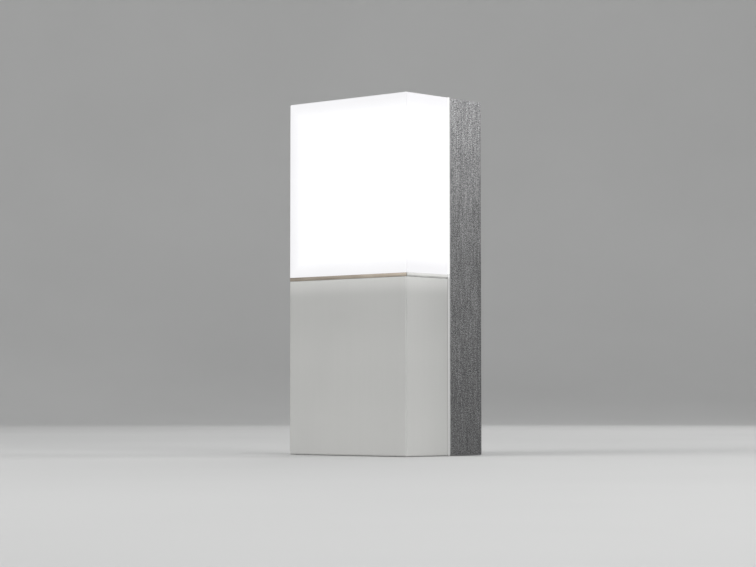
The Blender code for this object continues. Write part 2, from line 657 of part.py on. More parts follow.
def build_cover():
    """Painted cover: closed in front, at the sides and on top, with its floor set in from below."""
    cover = box(
        "lower_cover", (-HALF_WIDTH, HALF_WIDTH), (-DEPTH, -FRONT_BACK), (-HALF_HEIGHT, COVER_TOP),
        PARTS, rounded=lambda side: side[1] <= 0 and side[2] <= 0,
    )
    inner_x = HALF_WIDTH - COVER_WALL
    inner_y = (-DEPTH + COVER_WALL, -FRONT_BACK + 5)
    floor_bottom = COVER_FLOOR_TOP - COVER_FLOOR
    cut(
        cover,
        box("cover_inside", (-inner_x, inner_x), inner_y,
            (COVER_FLOOR_TOP, COVER_TOP - COVER_WALL), CUTTERS),
        box("cover_pocket", (-inner_x, inner_x), inner_y, (-HALF_HEIGHT - 5, floor_bottom), CUTTERS),
    )
    through_floor = (floor_bottom - 1.5, COVER_FLOOR_TOP + 1.5)
    for side, x, y in both_sides(COVER_SCREW):
        cut(
            cover,
            rod(f"cover_slot_end_{side}", "Z", (x, y), through_floor, COVER_SLOT_RADIUS, CUTTERS),
            box(f"cover_slot_{side}", (x - COVER_SLOT_RADIUS, x + COVER_SLOT_RADIUS), (y, -30.0),
                through_floor, CUTTERS),
        )
    for side, sign in (("left", -1), ("right", 1)):
        tongue = sorted((sign * TONGUE_X[0], sign * TONGUE_X[1]))
        arm = sorted((sign * TONGUE_X[0], sign * (inner_x + 1.0)))
        add(
            cover,
            box(f"tongue_arm_{side}", arm, (-42.0, -40.0), (-32.0, -22.0), CUTTERS),
            box(f"tongue_{side}", tongue, (-41.0, -20.0), (-31.99, -22.01), CUTTERS),
        )
    finish(cover, "silver_paint")


def build_cover_screws():
    """Two screws with sealing washers under the cover's floor; a turn moves each by its pitch."""
    for side, x, y in both_sides(COVER_SCREW):
        washer = rod(f"cover_washer_{side}", "Z", (x, y), (-120.6, -119.6), 4.8, PARTS)
        cut(washer, rod(f"cover_washer_hole_{side}", "Z", (x, y), (-122.0, -118.0), HOLE_M4, CUTTERS))
        finish(washer, "black_rubber")
        screw = machine_screw(f"cover_screw_{side}", (x, y, -120.9), FACING_DOWN,
                              4.0, SHANK_M4, 2.0, 13.5, PARTS)
        finish(screw, "stainless")


clear_scene()
PARTS = new_collection("wall_lantern")
CUTTERS = new_collection("wall_lantern_cutters")
build_housing()
build_grommet()
build_light_unit()
build_diffuser()
build_gaskets()
build_divider()
build_driver()
build_terminals()
build_earth()
build_clamp()
build_wires()
build_bracket()
build_clips()
build_cover()
build_cover_screws()
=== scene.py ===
"""Looks of the outdoor wall lantern: camera, soft studio, materials and fine pieces.

Everything is in metres in the lantern's own frame: the wall is the plane y = 0, the lantern
faces -Y, +X is to the right seen from the front and +Z is up.
"""

import json
import math

import bmesh
import bpy
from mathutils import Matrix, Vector


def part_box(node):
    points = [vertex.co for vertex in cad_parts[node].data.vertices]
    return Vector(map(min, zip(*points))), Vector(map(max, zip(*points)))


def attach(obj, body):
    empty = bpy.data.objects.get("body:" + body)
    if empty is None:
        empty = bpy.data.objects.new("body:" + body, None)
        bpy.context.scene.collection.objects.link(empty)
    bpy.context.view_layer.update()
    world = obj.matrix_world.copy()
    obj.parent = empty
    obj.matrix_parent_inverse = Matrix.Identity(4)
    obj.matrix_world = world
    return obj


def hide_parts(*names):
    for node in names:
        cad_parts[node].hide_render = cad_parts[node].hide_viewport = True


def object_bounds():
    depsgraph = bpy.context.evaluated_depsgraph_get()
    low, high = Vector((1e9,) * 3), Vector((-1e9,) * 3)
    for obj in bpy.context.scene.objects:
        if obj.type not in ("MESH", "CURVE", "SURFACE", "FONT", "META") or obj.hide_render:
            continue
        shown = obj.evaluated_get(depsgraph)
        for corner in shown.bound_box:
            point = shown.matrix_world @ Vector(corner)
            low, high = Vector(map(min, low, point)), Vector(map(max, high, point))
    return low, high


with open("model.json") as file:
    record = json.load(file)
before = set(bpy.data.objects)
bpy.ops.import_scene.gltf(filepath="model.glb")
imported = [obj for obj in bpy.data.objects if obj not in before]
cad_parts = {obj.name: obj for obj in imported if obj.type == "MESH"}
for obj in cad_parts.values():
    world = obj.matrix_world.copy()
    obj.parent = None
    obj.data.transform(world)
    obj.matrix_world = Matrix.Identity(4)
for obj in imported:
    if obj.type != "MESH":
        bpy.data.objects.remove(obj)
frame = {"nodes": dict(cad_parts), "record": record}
CAD_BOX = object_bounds()
NODES = frame["nodes"]
MM = 0.001
PLAIN_SCALE = (1.0, 1.0, 1.0)

LOW, HIGH = (Vector(corner) for corner in CAD_BOX)
HOUSING_LOW, HOUSING_HIGH = (Vector(corner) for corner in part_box("rear_housing"))


# ---------------------------------------------------------------- camera and studio

CAMERA_AZIMUTH = math.radians(42.48)   # from the lantern's front round to its right
CAMERA_DEPTH = 1.620          # from the camera to the lantern's near upright edge
CAMERA_ASIDE = 0.0194         # how far that edge stands to the right of the optical axis
CAMERA_HEIGHT = -0.0876       # below the lantern's middle
CAMERA_TILT = math.radians(2.852)
CAMERA_RANGE = (0.05, 50.0)   # nearest and farthest distance that it sees
LENS = 113.1                  # focal length in mm


def add_camera():
    """A camera to the front right, a little below the lantern's middle and tilted up to it."""
    forward = Vector((-math.sin(CAMERA_AZIMUTH), math.cos(CAMERA_AZIMUTH), 0.0))
    right = Vector((math.cos(CAMERA_AZIMUTH), math.sin(CAMERA_AZIMUTH), 0.0))
    near_edge = Vector((HIGH.x, LOW.y, CAMERA_HEIGHT))
    data = bpy.data.cameras.new("camera")
    data.lens = LENS
    data.clip_start, data.clip_end = CAMERA_RANGE
    camera = bpy.data.objects.new("camera", data)
    camera.location = near_edge - forward * CAMERA_DEPTH - right * CAMERA_ASIDE
    aim = forward * math.cos(CAMERA_TILT) + Vector((0.0, 0.0, math.sin(CAMERA_TILT)))
    camera.rotation_euler = aim.to_track_quat("-Z", "Y").to_euler()
    bpy.context.scene.collection.objects.link(camera)
    bpy.context.scene.camera = camera


STUDIO_FLAT = 2.3             # radius of the flat floor
STUDIO_CURVE = 1.1            # radius of the curve from the floor to the wall
STUDIO_TOP = 2.4
STUDIO_DROP = 0.0002          # the floor lies this much below the lantern
CURVE_STEPS = 12
STUDIO_SIDES = 64


def add_studio():
    """A pale floor that curves up into a round wall."""
    profile = [(0.0, 0.0), (STUDIO_FLAT, 0.0)]
    for step in range(1, CURVE_STEPS + 1):
        angle = math.radians(90 * step / CURVE_STEPS)
        outward = STUDIO_CURVE * math.sin(angle)
        profile.append((STUDIO_FLAT + outward, STUDIO_CURVE * (1 - math.cos(angle))))
    profile.append((STUDIO_FLAT + STUDIO_CURVE, STUDIO_TOP))
    mesh = bpy.data.meshes.new("studio_floor")
    points = [(radius, 0.0, LOW.z - STUDIO_DROP + height) for radius, height in profile]
    mesh.from_pydata(points, [(i, i + 1) for i in range(len(points) - 1)], [])
    floor = bpy.data.objects.new("studio_floor", mesh)
    bpy.context.scene.collection.objects.link(floor)
    turn = floor.modifiers.new("turn", "SCREW")
    turn.steps = STUDIO_SIDES
    turn.render_steps = STUDIO_SIDES
    turn.use_smooth_shade = True
    turn.use_normal_flip = True
    material = Surface("studio_paper", (0.62, 0.62, 0.615), roughness=0.9)
    grain = material.noise(scale=3.0, detail=3.0)
    material.color_ramp(grain, [(0.3, (0.61, 0.61, 0.605)), (0.7, (0.635, 0.635, 0.63))])
    floor.data.materials.append(material.material)


# Name, azimuth and elevation in degrees, distance and size in metres, power in watts.
# Azimuth 0 is in front of the lantern and 90 to its right.
LIGHTS = (
    ("key_front", -18.0, 18.0, 1.9, (1.2, 1.2), 20.0),
    ("key_side", 82.0, 11.0, 1.7, (1.1, 1.1), 15.8),
    ("rim_side", 138.0, 20.0, 1.9, (0.9, 0.5), 11.6),
    ("back_fill", 205.0, 30.0, 2.2, (1.4, 1.0), 9.0),
)
SKY_COLOR = (0.98, 0.99, 1.0, 1.0)
SKY_STRENGTH = 0.46


def add_light(name, azimuth, elevation, distance, size, power):
    """A soft box that faces the lantern."""
    turn = math.radians(azimuth)
    rise = math.radians(elevation)
    level = math.cos(rise)
    direction = Vector((math.sin(turn) * level, -math.cos(turn) * level, math.sin(rise)))
    data = bpy.data.lights.new(name, "AREA")
    data.shape = "RECTANGLE"
    data.size, data.size_y = size
    data.energy = power
    light = bpy.data.objects.new(name, data)
    light.location = direction * distance
    light.rotation_euler = (-direction).to_track_quat("-Z", "Y").to_euler()
    bpy.context.scene.collection.objects.link(light)


def add_sky():
    """Even, faintly blue light from all round."""
    world = bpy.data.worlds.new("studio_sky")
    bpy.context.scene.world = world
    world.use_nodes = True
    background = world.node_tree.nodes["Background"]
    background.inputs["Color"].default_value = SKY_COLOR
    background.inputs["Strength"].default_value = SKY_STRENGTH


# ---------------------------------------------------------------- materials

MIX_SOCKETS = (0, 6, 7)       # factor and two colours of a Mix node that mixes colours
MIX_RESULT = 2
NOISE_SPAN = (0.25, 0.75)     # where nearly all values of a noise lie
BEVEL_SAMPLES = 4


class Surface:
    """A Principled material with short calls for the noise, ramps and bumps that finish it.

    Its patterns are placed in metres in the lantern's frame.
    """

    def __init__(self, name, color, roughness=0.5, metallic=0.0):
        self.material = bpy.data.materials.new(name)
        self.material.use_nodes = True
        self.tree = self.material.node_tree
        self.shader = self.tree.nodes["Principled BSDF"]
        self.shader.inputs["Base Color"].default_value = (*color, 1.0)
        self.shader.inputs["Roughness"].default_value = roughness
        self.shader.inputs["Metallic"].default_value = metallic
        self.place = self.tree.nodes.new("ShaderNodeTexCoord").outputs["Object"]
        self.normal = None

    def node(self, kind, **values):
        """A new node with some of its properties set."""
        node = self.tree.nodes.new(kind)
        for name, value in values.items():
            setattr(node, name, value)
        return node

    def link(self, source, target):
        self.tree.links.new(source, target)

    def stretched(self, stretch):
        """The place with each axis scaled: below 1 draws a pattern out along that axis."""
        mapping = self.node("ShaderNodeMapping")
        mapping.inputs["Scale"].default_value = stretch
        self.link(self.place, mapping.inputs["Vector"])
        return mapping.outputs["Vector"]

    def noise(self, scale, detail=2.0, roughness=0.5, stretch=PLAIN_SCALE):
        """Noise with about scale features to the metre."""
        node = self.node("ShaderNodeTexNoise")
        node.inputs["Scale"].default_value = scale
        node.inputs["Detail"].default_value = detail
        node.inputs["Roughness"].default_value = roughness
        self.link(self.stretched(stretch), node.inputs["Vector"])
        return node.outputs["Fac"]

    def cells(self, scale):
        """Distance to the nearest of many points, about scale of them to the metre."""
        node = self.node("ShaderNodeTexVoronoi")
        node.inputs["Scale"].default_value = scale
        self.link(self.stretched(PLAIN_SCALE), node.inputs["Vector"])
        return node.outputs["Distance"]

    def math(self, operation, first, second=0.0):
        """One operation on two values, each a number or a socket."""
        node = self.node("ShaderNodeMath", operation=operation)
        for socket, value in zip(node.inputs, (first, second)):
            if isinstance(value, (int, float)):
                socket.default_value = value
            else:
                self.link(value, socket)
        return node.outputs["Value"]

    def mix_values(self, *weighted):
        """Weighted sum of several values."""
        total = None
        for value, weight in weighted:
            part = self.math("MULTIPLY", value, weight)
            total = part if total is None else self.math("ADD", total, part)
        return total

    def axis(self, letter):
        """One coordinate of the place."""
        split = self.node("ShaderNodeSeparateXYZ")
        self.link(self.place, split.inputs["Vector"])
        return split.outputs[letter]

    def between(self, value, low, high, to_low=0.0, to_high=1.0):
        """The value brought from one range to another, smoothly and held at the ends."""
        node = self.node("ShaderNodeMapRange", interpolation_type="SMOOTHSTEP")
        limits = {"From Min": low, "From Max": high, "To Min": to_low, "To Max": to_high}
        for name, number in limits.items():
            node.inputs[name].default_value = number
        self.link(value, node.inputs["Value"])
        return node.outputs["Result"]

    def ramp(self, value, stops):
        """Colour that runs through the stops, each a position and a colour, as the value rises."""
        node = self.node("ShaderNodeValToRGB")
        elements = node.color_ramp.elements
        while len(elements) < len(stops):
            elements.new(0.5)
        for element, (position, color) in zip(elements, stops):
            element.position = position
            element.color = (*color, 1.0)
        self.link(value, node.inputs["Fac"])
        return node.outputs["Color"]

    def color_ramp(self, value, stops):
        """A ramp that is the base colour."""
        self.link(self.ramp(value, stops), self.shader.inputs["Base Color"])

    def blend(self, factor, first, second, blend_type="MIX"):
        """Mix of two colours."""
        node = self.node("ShaderNodeMix", data_type="RGBA", blend_type=blend_type)
        sockets = [node.inputs[number] for number in MIX_SOCKETS]
        for socket, value in zip(sockets, (factor, first, second)):
            if isinstance(value, (int, float)):
                socket.default_value = value
            elif isinstance(value, tuple):
                socket.default_value = (*value, 1.0)
            else:
                self.link(value, socket)
        return node.outputs[MIX_RESULT]

    def grey(self, value):
        """The value as a colour of three equal parts."""
        node = self.node("ShaderNodeCombineColor")
        for socket in node.inputs:
            self.link(value, socket)
        return node.outputs["Color"]

    def rough(self, value, low, high):
        """Roughness that follows a noise."""
        self.link(self.between(value, *NOISE_SPAN, low, high), self.shader.inputs["Roughness"])

    def bump(self, height, depth, strength=1.0):
        """Raise the surface by up to depth metres; later bumps add to earlier ones."""
        node = self.node("ShaderNodeBump")
        node.inputs["Strength"].default_value = strength
        node.inputs["Distance"].default_value = depth
        self.link(height, node.inputs["Height"])
        if self.normal:
            self.link(self.normal, node.inputs["Normal"])
        self.normal = node.outputs["Normal"]
        self.link(self.normal, self.shader.inputs["Normal"])

    def round_edges(self, radius):
        """Soften the shading over sharp edges, as if they had this radius."""
        node = self.node("ShaderNodeBevel", samples=BEVEL_SAMPLES)
        node.inputs["Radius"].default_value = radius
        self.normal = node.outputs["Normal"]

    def edges(self, low, high, reach):
        """1 on the outer edges of the box between two corners, falling to 0 within reach."""
        near = []
        for letter, a, b in zip("XYZ", low, high):
            centre, half = (a + b) / 2, (b - a) / 2
            away = self.math("ABSOLUTE", self.math("SUBTRACT", self.axis(letter), centre))
            near.append(self.math("SUBTRACT", half, away))
        first, second, third = near
        smallest = self.math("MINIMUM", self.math("MINIMUM", first, second), third)
        largest = self.math("MAXIMUM", self.math("MAXIMUM", first, second), third)
        total = self.math("ADD", self.math("ADD", first, second), third)
        middle = self.math("SUBTRACT", self.math("SUBTRACT", total, smallest), largest)
        return self.between(middle, 0.0, reach, 1.0, 0.0)


def textured_metal():
    """Dark grey metallic coat with a fine upright grain and bright flakes, painted lighter at the
    top, with worn edges that are also a painted edge highlight.
    """
    coat = Surface("textured_metal", (0.2, 0.2, 0.205), roughness=0.5, metallic=0.6)
    speckle = coat.noise(1500.0, detail=2.0, roughness=0.75)
    grains = coat.math("SUBTRACT", 1.0, coat.cells(1400.0))
    streak = coat.noise(900.0, detail=2.0, roughness=0.6, stretch=(1.0, 1.0, 0.06))
    cloud = coat.noise(22.0, detail=3.0, stretch=(1.0, 1.0, 0.4))
    tone = coat.mix_values((speckle, 0.5), (grains, 0.24), (streak, 0.17), (cloud, 0.08))
    base = coat.ramp(tone, [
        (0.38, (0.03, 0.03, 0.031)), (0.50, (0.115, 0.115, 0.117)), (0.62, (0.38, 0.38, 0.384)),
    ])
    # Painted light: the coat is made lighter towards the top and darker towards the bottom, where
    # the lamps light it more or less.
    painted_top_light = coat.between(coat.axis("Z"), 0.0, 0.135, 0.75, 1.52)
    base = coat.blend(1.0, base, coat.grey(painted_top_light), "MULTIPLY")
    # Lighter edges: edge wear, and also a painted highlight along the housing's edges.
    wear_and_edge_highlight = coat.edges(HOUSING_LOW, HOUSING_HIGH, 0.0012)
    wear_and_edge_highlight = coat.math("MULTIPLY", wear_and_edge_highlight, coat.noise(260.0, detail=3.0))
    coat.link(coat.blend(wear_and_edge_highlight, base, (0.42, 0.42, 0.42)), coat.shader.inputs["Base Color"])
    coat.rough(speckle, 0.42, 0.58)
    coat.round_edges(0.0004)
    coat.bump(tone, 0.00012, 0.6)
    return coat.material


def silver_paint():
    """Light warm-grey metallic paint, nearly matt, with orange peel and faint clouding.

    Its painted light and shade: light that the opal box spills on its top edge, a darker band below
    that, a darkening towards the wall, and light that the floor throws back at its foot.
    """
    low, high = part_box("lower_cover")
    paint = Surface("silver_paint", (0.45, 0.45, 0.435), roughness=0.46, metallic=0.12)
    cloud = paint.noise(9.0, detail=3.0, stretch=(1.0, 1.0, 0.5))
    flake = paint.noise(2300.0, detail=2.0, roughness=0.7)
    streak = paint.noise(420.0, detail=2.0, stretch=(1.0, 1.0, 0.03))
    tone = paint.mix_values((cloud, 0.5), (flake, 0.42), (streak, 0.08))
    base = paint.ramp(tone, [(0.3, (0.43, 0.43, 0.42)), (0.7, (0.50, 0.50, 0.485))])
    # Painted shade: darker towards the wall. Painted light from the opal box at the top edge, a
    # painted darker band below it, and painted floor light at the foot.
    depth = paint.between(paint.axis("Y"), low[1], high[1], 0.94, 0.78)
    spill = paint.between(paint.axis("Z"), high[2] - 0.013, high[2], 0.0, 1.0)
    painted_dark_band = paint.between(paint.axis("Z"), high[2] - 0.060, high[2] - 0.022, 0.0, 1.0)
    bounce = paint.between(paint.axis("Z"), low[2], (low[2] + high[2]) / 2, 1.0, 0.0)
    shade = paint.mix_values((depth, 1.0), (spill, 0.255), (painted_dark_band, -0.07), (bounce, 0.10))
    lit = paint.blend(1.0, base, paint.grey(shade), "MULTIPLY")
    paint.link(lit, paint.shader.inputs["Base Color"])
    paint.rough(cloud, 0.42, 0.52)
    paint.round_edges(0.0003)
    paint.bump(paint.noise(700.0, detail=1.0), 0.00003, 0.5)
    return paint.material


def opal_plastic():
    """Lit opal plastic, a shade dimmer and cooler towards its head, its foot and its left edge."""
    low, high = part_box("diffuser")
    opal = Surface("opal_plastic", (0.35, 0.35, 0.36), roughness=0.36)
    opal.shader.inputs["Specular IOR Level"].default_value = 0.2
    soft = opal.noise(14.0, detail=2.0)
    opal.color_ramp(soft, [(0.3, (0.335, 0.335, 0.345)), (0.7, (0.365, 0.365, 0.375))])
    reach, corner = 0.034, 0.0008
    foot = opal.between(opal.axis("Z"), low[2], low[2] + reach, 1.0, 0.0)
    head = opal.between(opal.axis("Z"), high[2] - reach, high[2], 0.0, 1.0)
    left = opal.between(opal.axis("X"), low[0] + corner, low[0] + reach, 1.0, 0.0)
    inside = opal.between(opal.axis("X"), low[0], low[0] + corner, 0.0, 1.0)
    aside = opal.math("MULTIPLY", left, inside)
    ends = opal.mix_values((head, 0.77), (foot, 0.74))
    across = opal.math("ABSOLUTE", opal.axis("X"))
    sides = opal.between(across, high[0] - corner, high[0] - 0.0001, 0.0, 0.12)
    edge = opal.math("MAXIMUM", ends, opal.math("MULTIPLY", aside, 0.75))
    dim = opal.mix_values((edge, 1.0), (opal.math("MULTIPLY", ends, sides), 1.0), (soft, 0.03))
    glow = opal.ramp(dim, [
        (0.0, (0.95, 0.95, 0.95)), (0.63, (0.64, 0.64, 0.645)),
        (0.8, (0.53, 0.525, 0.535)), (1.0, (0.46, 0.455, 0.47)),
    ])
    opal.link(glow, opal.shader.inputs["Emission Color"])
    opal.shader.inputs["Emission Strength"].default_value = 1.0
    opal.bump(opal.noise(900.0, detail=1.0), 0.00001, 0.3)
    return opal.material


def lit_silicone():
    """White translucent silicone, which glows where the opal box presses on it."""
    seal = Surface("white_silicone", (0.55, 0.55, 0.545), roughness=0.55)
    fine = seal.noise(1500.0, detail=2.0, roughness=0.6)
    seal.color_ramp(fine, [(0.3, (0.44, 0.44, 0.435)), (0.7, (0.51, 0.51, 0.505))])
    seal.rough(fine, 0.5, 0.62)
    seal.bump(fine, 0.00002, 0.5)
    near_lamp = seal.between(seal.axis("Z"), -0.003, 0.002, 0.0, 0.5)
    seal.link(seal.grey(near_lamp), seal.shader.inputs["Emission Color"])
    seal.shader.inputs["Emission Strength"].default_value = 1.0
    return seal.material


def bronze_strip():
    """Brushed bronze-toned strip."""
    metal = Surface("bronze_strip", (0.33, 0.27, 0.21), roughness=0.4, metallic=0.5)
    brush = metal.noise(900.0, detail=3.0, stretch=(0.04, 1.0, 1.0))
    cloud = metal.noise(60.0, detail=2.0)
    tone = metal.mix_values((brush, 0.6), (cloud, 0.4))
    metal.color_ramp(tone, [(0.3, (0.24, 0.205, 0.165)), (0.7, (0.38, 0.335, 0.28))])
    metal.rough(brush, 0.32, 0.5)
    metal.bump(brush, 0.00003, 0.5)
    return metal.material


def moulded(name, dark, light, roughness, grain=1500.0):
    """Moulded plastic or rubber: a fine spark-eroded grain and a little tone variation."""
    plastic = Surface(name, light, roughness=roughness)
    fine = plastic.noise(grain, detail=2.0, roughness=0.6)
    broad = plastic.noise(40.0, detail=2.0)
    tone = plastic.mix_values((fine, 0.4), (broad, 0.6))
    plastic.color_ramp(tone, [(0.3, dark), (0.7, light)])
    plastic.rough(fine, roughness - 0.06, roughness + 0.08)
    plastic.round_edges(0.0004)
    plastic.bump(fine, 0.00002, 0.5)
    return plastic.material


def plated(name, dark, light, roughness, stretch=(0.05, 1.0, 1.0)):
    """Bare or plated metal with fine brush marks and faint tarnish."""
    metal = Surface(name, light, roughness=roughness, metallic=1.0)
    brush = metal.noise(1400.0, detail=3.0, stretch=stretch)
    tarnish = metal.noise(90.0, detail=3.0)
    tone = metal.mix_values((brush, 0.45), (tarnish, 0.55))
    metal.color_ramp(tone, [(0.3, dark), (0.7, light)])
    metal.rough(tone, roughness - 0.08, roughness + 0.12)
    metal.round_edges(0.0003)
    metal.bump(brush, 0.00001, 0.4)
    return metal.material


def striped_wire():
    """Green insulation with a yellow stripe."""
    wire = Surface("green_yellow_wire", (0.1, 0.42, 0.1), roughness=0.4)
    wave = wire.node("ShaderNodeTexWave", bands_direction="DIAGONAL")
    wave.inputs["Scale"].default_value = 90.0
    wave.inputs["Distortion"].default_value = 0.6
    wire.link(wire.place, wave.inputs["Vector"])
    wire.color_ramp(wave.outputs["Fac"], [(0.48, (0.05, 0.3, 0.06)), (0.56, (0.75, 0.62, 0.05))])
    wire.bump(wire.noise(1800.0), 0.00001, 0.4)
    return wire.material


# Each finish: its darker and lighter tone, its roughness, and its grain if it isn't the usual one.
MOULDED = {
    "white_plastic": ((0.56, 0.56, 0.54), (0.66, 0.66, 0.64), 0.45),
    "black_foam": ((0.008, 0.008, 0.008), (0.05, 0.05, 0.05), 0.85, 1100.0),
    "black_rubber": ((0.018, 0.018, 0.018), (0.04, 0.04, 0.04), 0.6),
    "board_white": ((0.74, 0.75, 0.74), (0.82, 0.82, 0.80), 0.4),
    "led_phosphor": ((0.8, 0.62, 0.16), (0.92, 0.78, 0.3), 0.45),
    "driver_plastic": ((0.055, 0.055, 0.06), (0.1, 0.1, 0.105), 0.55),
    "driver_lid_plastic": ((0.5, 0.5, 0.49), (0.6, 0.6, 0.58), 0.4),
    "terminal_plastic": ((0.6, 0.61, 0.6), (0.72, 0.72, 0.7), 0.35),
    "brown_wire": ((0.13, 0.05, 0.02), (0.22, 0.1, 0.045), 0.4),
    "blue_wire": ((0.02, 0.09, 0.36), (0.05, 0.17, 0.55), 0.4),
    "red_wire": ((0.4, 0.02, 0.015), (0.6, 0.05, 0.035), 0.4),
    "black_wire": ((0.012, 0.012, 0.012), (0.035, 0.035, 0.035), 0.4),
}
# The same for metals, with the stretch of their brush marks.
PLATED = {
    "raw_aluminium": ((0.58, 0.58, 0.59), (0.74, 0.74, 0.75), 0.36),
    "zinc_steel": ((0.42, 0.43, 0.43), (0.66, 0.66, 0.64), 0.34, PLAIN_SCALE),
    "stainless": ((0.52, 0.51, 0.49), (0.68, 0.67, 0.65), 0.26),
    "brass": ((0.55, 0.37, 0.12), (0.78, 0.58, 0.24), 0.3, PLAIN_SCALE),
}


def make_materials():
    """Every material by the name of its slot."""
    materials = {
        "textured_metal": textured_metal(),
        "silver_paint": silver_paint(),
        "opal_plastic": opal_plastic(),
        "bronze_strip": bronze_strip(),
        "white_silicone": lit_silicone(),
        "green_yellow_wire": striped_wire(),
    }
    for name, looks in MOULDED.items():
        materials[name] = moulded(name, *looks)
    for name, looks in PLATED.items():
        materials[name] = plated(name, *looks)
    return materials


def finish_nodes(materials):
    """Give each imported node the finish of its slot."""
    for part in frame["record"]["subparts"]:
        data = NODES[part["node"]].data
        data.materials.clear()
        data.materials.append(materials[part["material_slot"]])


# ---------------------------------------------------------------- shapes for the fine pieces

SLOT_OF = {part["node"]: part["material_slot"] for part in frame["record"]["subparts"]}
BODY_OF = {
    node: body for body, nodes in frame["record"]["behaviour"]["bodies"].items() for node in nodes
}


def box_mm(node):
    """A node's lowest and highest corners in mm."""
    low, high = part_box(node)
    return low / MM, high / MM


def unit(axis, sign=1.0):
    """Direction along an axis, given by its number."""
    direction = [0.0, 0.0, 0.0]
    direction[axis] = sign
    return direction


def mesh_object(name, bm):
    """An object with the shape that was built in bm, which is used up."""
    bmesh.ops.recalc_face_normals(bm, faces=bm.faces)
    mesh = bpy.data.meshes.new(name)
    bm.to_mesh(mesh)
    bm.free()
    obj = bpy.data.objects.new(name, mesh)
    bpy.context.scene.collection.objects.link(obj)
    return obj


SHARP_ANGLE = math.radians(32.0)


def shaded(mesh):
    """Smooth shading that breaks at sharp edges."""
    bm = bmesh.new()
    bm.from_mesh(mesh)
    for face in bm.faces:
        face.smooth = True
    for edge in bm.edges:
        edge.smooth = edge.is_manifold and edge.calc_face_angle() < SHARP_ANGLE
    bm.to_mesh(mesh)
    bm.free()


def fine(node, obj):
    """The piece stands for the CAD node, in the node's finish, and rides on its body."""
    shaded(obj.data)
    obj.data.materials.clear()
    obj.data.materials.append(MATERIALS[SLOT_OF[node]])
    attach(obj, BODY_OF[node])
    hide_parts(node)


ROUNDING_STEPS = 4


def block(name, x, y, z, radius=0.0, parallel="XYZ"):
    """A box between two values on each axis in mm, with the edges along some axes rounded."""
    low = Vector((x[0], y[0], z[0])) * MM
    high = Vector((x[1], y[1], z[1])) * MM
    bm = bmesh.new()
    bmesh.ops.create_cube(bm, size=1.0)
    for vert in bm.verts:
        vert.co = (low + high) / 2 + Vector(a * b for a, b in zip(vert.co, high - low))
    if radius:
        along = ["XYZ".index(letter) for letter in parallel]
        edges = []
        for edge in bm.edges:
            run = edge.verts[0].co - edge.verts[1].co
            if max(range(3), key=lambda i: abs(run[i])) in along:
                edges.append(edge)
        bmesh.ops.bevel(
            bm, geom=edges, offset=radius * MM, segments=ROUNDING_STEPS, profile=0.5,
            affect="EDGES")
    return mesh_object(name, bm)


def lathe(name, profile, base, axis, steps=48):
    """Turn (radius, height) points in mm about an axis through the base in metres.

    A closed profile makes a ring.
    """
    ring = profile[0] == profile[-1]
    points = profile[:-1] if ring else profile
    turn = Vector(axis).to_track_quat("Z", "Y")
    bm = bmesh.new()
    rows = []
    for radius, height in points:
        if radius == 0.0:
            spot = Vector((0.0, 0.0, height * MM))
            rows.append([bm.verts.new(Vector(base) + turn @ spot)])
            continue
        row = []
        for step in range(steps):
            angle = math.tau * step / steps
            spot = Vector((math.cos(angle) * radius, math.sin(angle) * radius, height)) * MM
            row.append(bm.verts.new(Vector(base) + turn @ spot))
        rows.append(row)
    pairs = list(zip(rows, rows[1:])) + ([(rows[-1], rows[0])] if ring else [])
    for upper, lower in pairs:
        for step in range(steps):
            after = (step + 1) % steps
            corners = [upper[step % len(upper)], lower[step % len(lower)],
                       lower[after % len(lower)], upper[after % len(upper)]]
            bm.faces.new(list(dict.fromkeys(corners)))
    return mesh_object(name, bm)


def bar(name, axis, at, span, radius, steps=40):
    """A cylinder along X, Y or Z at the two other coordinates in mm, over a span."""
    number = "XYZ".index(axis)
    start = list(at)
    start.insert(number, span[0])
    length = span[1] - span[0]
    profile = [(0.0, length), (radius, length), (radius, 0.0), (0.0, 0.0)]
    return lathe(name, profile, Vector(start) * MM, unit(number), steps)


def shape(obj, add=(), cut=()):
    """Join some shapes to the object, then cut others away, and keep only the result."""
    for operation, others in (("UNION", add), ("DIFFERENCE", cut)):
        for other in others:
            modifier = obj.modifiers.new(other.name, "BOOLEAN")
            modifier.operation = operation
            modifier.solver = "EXACT"
            modifier.object = other
    depsgraph = bpy.context.evaluated_depsgraph_get()
    result = bpy.data.meshes.new_from_object(obj.evaluated_get(depsgraph))
    obj.modifiers.clear()
    obj.data = result
    for other in (*add, *cut):
        bpy.data.objects.remove(other)
    return obj


def arc(centre, radius, start, end, steps=5):
    """Profile points on an arc, from one angle to another in degrees."""
    points = []
    for step in range(steps + 1):
        angle = math.radians(start + (end - start) * step / steps)
        points.append((centre[0] + radius * math.cos(angle), centre[1] + radius * math.sin(angle)))
    return points


def round_box(node):
    """For a node that is round about Y or Z: middle, radius and both corners of its box in mm."""
    low, high = box_mm(node)
    return (low + high) / 2, (high.x - low.x) / 2, low, high


# ---------------------------------------------------------------- fine pieces

# Places in mm that several fine pieces share. The CAD solids have the same.
POLES = (-10.0, 0.0, 10.0)         # X of the terminal block's poles
POLE_Y = -12.0
LED_LEAD_X = 3.0                   # where the LED leads leave the driver, on each side of X = 0
LED_LEAD_Y = -14.0
TERMINAL_SCREW_Z = (-73.5, -66.5)
EARTH_Z = -70.0
SMALL_HOLE = 1.7                   # radius of the clearance holes for the small screws
BUSH_AT = (28.0, -46.0)            # X and Y of the cover screws' bushes, on each side of X = 0
BRACKET_Z = -115.5                 # middle of the bracket's sheet
BRACKET_Y = -6.3
CLAMP_Z = -84.0
CLIP_X = 46.75                     # middle of each spring clip

SCREW_FACINGS = {"front": (1, -1), "wall": (1, 1), "down": (2, -1)}   # axis, and side of the head
SMALL_THREAD = (1.4, 0.5, 0.22)    # radius, pitch and depth
LARGE_THREAD = (1.9, 0.7, 0.3)
THREAD_START = -0.4                # where the first groove lies under the head
SCREW_SIDES = 28
TERMINAL_SCREWS = 6


